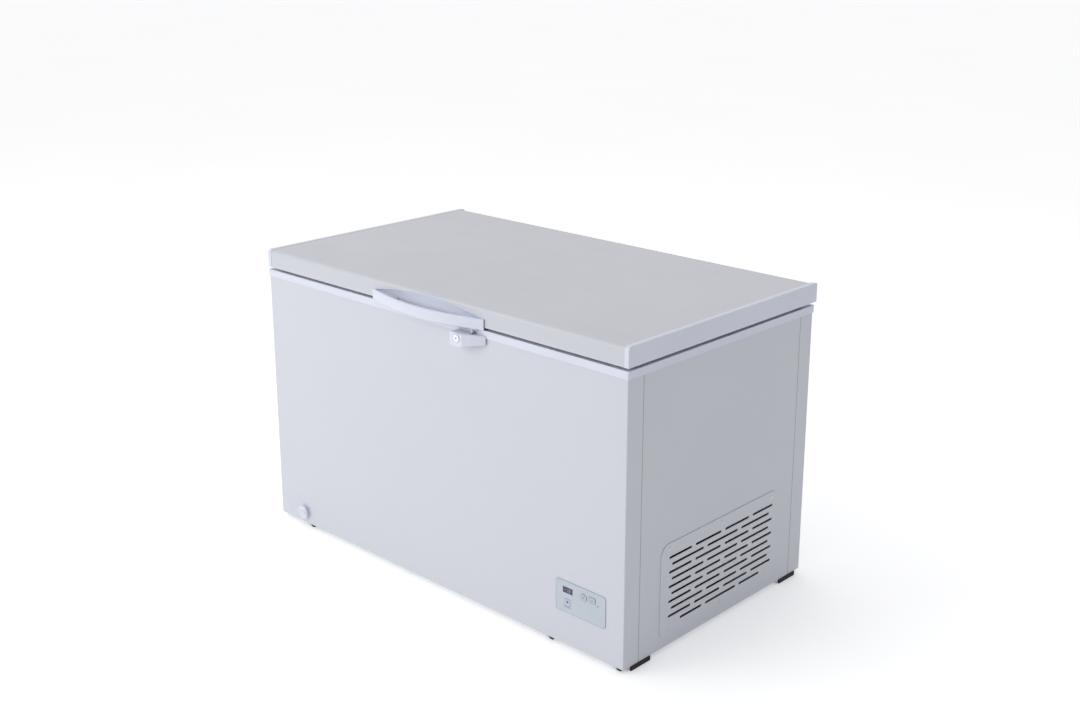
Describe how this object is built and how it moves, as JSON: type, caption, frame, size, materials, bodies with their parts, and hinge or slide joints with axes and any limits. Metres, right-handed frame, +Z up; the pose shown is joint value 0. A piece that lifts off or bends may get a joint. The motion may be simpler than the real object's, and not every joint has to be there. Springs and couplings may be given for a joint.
{
  "type": "chest freezer",
  "caption": "Wide white chest freezer with a hinged insulated lid, bowed front handle, key lock, stepped liner, hanging basket, small control panel and side compressor grille.",
  "frame": {"origin": "on the floor, at the middle of the footprint of the whole freezer with its handle and hinge covers", "axes": "+X along the long side towards the machine compartment, -Y towards the front with the handle, +Z up"},
  "size_m": [1.315, 0.788, 0.805],
  "materials": {
    "cabinet_paint": "satin white pre-painted steel with a faint orange peel",
    "lid_paint": "satin white pre-painted steel",
    "galvanised_steel": "galvanised sheet",
    "zinc_hardware": "zinc plated steel",
    "foam": null,
    "liner_aluminium": "embossed white-coated aluminium",
    "white_plastic": "bluish white moulded plastic, satin",
    "liner_plastic": "white vacuum-formed plastic",
    "grey_plastic": "grey moulded plastic",
    "black_plastic": "black moulded plastic",
    "gasket_vinyl": "soft grey vinyl seal",
    "grey_rubber": "grey rubber",
    "black_rubber": "black rubber",
    "coil_steel": "copper-coated steel tube",
    "compressor_paint": "black baked enamel",
    "copper": "drawn copper tube",
    "panel_film": "smooth light blue-grey film",
    "display_glass": "dark smoked window",
    "lamp_lens": "clear blue lens",
    "button_plastic": "smooth light plastic",
    "lock_metal": "plated lock barrel",
    "circuit_board": "green board with components",
    "basket_wire": "white plastic-coated wire"
  },
  "bodies": {
    "cabinet": {"front_panel": "cabinet_paint", "side_panel_left": "cabinet_paint", "side_panel_right": "cabinet_paint", "rear_panel": "cabinet_paint", "compressor_grille": "cabinet_paint", "base_panel": "galvanised_steel", "machine_tray": "galvanised_steel", "machine_partition": "galvanised_steel", "foot_brackets": "galvanised_steel", "hinge_housings": "galvanised_steel", "compressor_bolts": "zinc_hardware", "grille_screws": "zinc_hardware", "foot_screws": "zinc_hardware", "hinge_pins": "zinc_hardware", "hinge_springs": "zinc_hardware", "compressor_baseplate": "zinc_hardware", "cabinet_insulation": "foam", "liner_walls": "liner_aluminium", "liner_floor": "liner_aluminium", "liner_step": "liner_aluminium", "top_rim": "white_plastic", "lock_housing": "white_plastic", "drain_escutcheon": "white_plastic", "hinge_covers": "white_plastic", "drain_pipe": "grey_plastic", "control_housing": "grey_plastic", "relay_box": "black_plastic", "cord_gland": "black_plastic", "foot_pads": "black_rubber", "compressor_grommets": "black_rubber", "evaporator_coil": "coil_steel", "condenser_coil": "coil_steel", "compressor_shell": "compressor_paint", "refrigerant_tubes": "copper", "filter_drier": "copper", "temperature_sensor": "copper", "control_fascia": "panel_film", "display_windows": "display_glass", "status_lamp": "lamp_lens", "control_board": "circuit_board"},
    "lid": {"lid_skin": "lid_paint", "lid_end_cap_left": "white_plastic", "lid_end_cap_right": "white_plastic", "lid_insulation": "foam", "lid_liner": "liner_plastic", "lid_gasket": "gasket_vinyl", "lid_handle": "white_plastic", "handle_screws": "zinc_hardware", "lid_catch": "zinc_hardware", "hinge_leaves": "zinc_hardware"},
    "lock_barrel": {"lock_barrel": "lock_metal"},
    "lock_bolt": {"lock_bolt": "zinc_hardware"},
    "set_button": {"set_button": "button_plastic"},
    "power_button": {"power_button": "button_plastic"},
    "drain_spout": {"drain_spout": "grey_plastic"},
    "drain_knob": {"drain_knob": "white_plastic"},
    "drain_plug": {"drain_plug": "grey_rubber"},
    "basket": {"basket": "basket_wire"},
    "hinge_follower_left": {"hinge_follower_left": "zinc_hardware"},
    "hinge_follower_right": {"hinge_follower_right": "zinc_hardware"}
  },
  "joints": [
    {"name": "lid_hinge", "type": "hinge", "parent": "cabinet", "child": "lid", "pos_m": [0, 0.3875, 0.75], "axis": [-1, 0, 0], "range_deg": [0, 86], "stiffness_Nm_per_rad": 15, "springref_deg": 90.01, "deforming": ["hinge_springs"]},
    {"name": "lock_turn", "type": "hinge", "parent": "cabinet", "child": "lock_barrel", "pos_m": [0.14, -0.379, 0.722], "axis": [0, 1, 0], "range_deg": [0, 90]},
    {"name": "lock_bolt_slide", "type": "slide", "parent": "cabinet", "child": "lock_bolt", "axis": [1, 0, 0], "range_m": [0, 0.0131]},
    {"name": "set_button_press", "type": "slide", "parent": "cabinet", "child": "set_button", "axis": [0, 1, 0], "range_m": [0, 0.001], "stiffness_N_per_m": 400},
    {"name": "power_button_press", "type": "slide", "parent": "cabinet", "child": "power_button", "axis": [0, 1, 0], "range_m": [0, 0.001], "stiffness_N_per_m": 400},
    {"name": "drain_pull", "type": "slide", "parent": "cabinet", "child": "drain_spout", "axis": [0, -1, 0], "range_m": [0, 0.03]},
    {"name": "drain_knob_turn", "type": "hinge", "parent": "drain_spout", "child": "drain_knob", "pos_m": [-0.544, -0.36, 0.045], "axis": [0, -1, 0], "range_deg": [0, 180]},
    {"name": "drain_plug_lift", "type": "slide", "parent": "cabinet", "child": "drain_plug", "axis": [0, 0, 1], "range_m": [0, 0.06]},
    {"name": "basket_slide", "type": "slide", "parent": "cabinet", "child": "basket", "axis": [-1, 0, 0], "range_m": [0, 0.93]},
    {"name": "left_follower_slide", "type": "slide", "parent": "cabinet", "child": "hinge_follower_left", "axis": [0, 0, 1], "range_m": [0, 0.0121]},
    {"name": "right_follower_slide", "type": "slide", "parent": "cabinet", "child": "hinge_follower_right", "axis": [0, 0, 1], "range_m": [0, 0.0121]}
  ],
  "couplings": [
    {"joint": "lock_bolt_slide", "follows": "lock_turn", "m_per_rad": 0.008276},
    {"joint": "left_follower_slide", "follows": "lid_hinge", "m_per_rad": 0.008},
    {"joint": "right_follower_slide", "follows": "lid_hinge", "m_per_rad": 0.008}
  ]
}
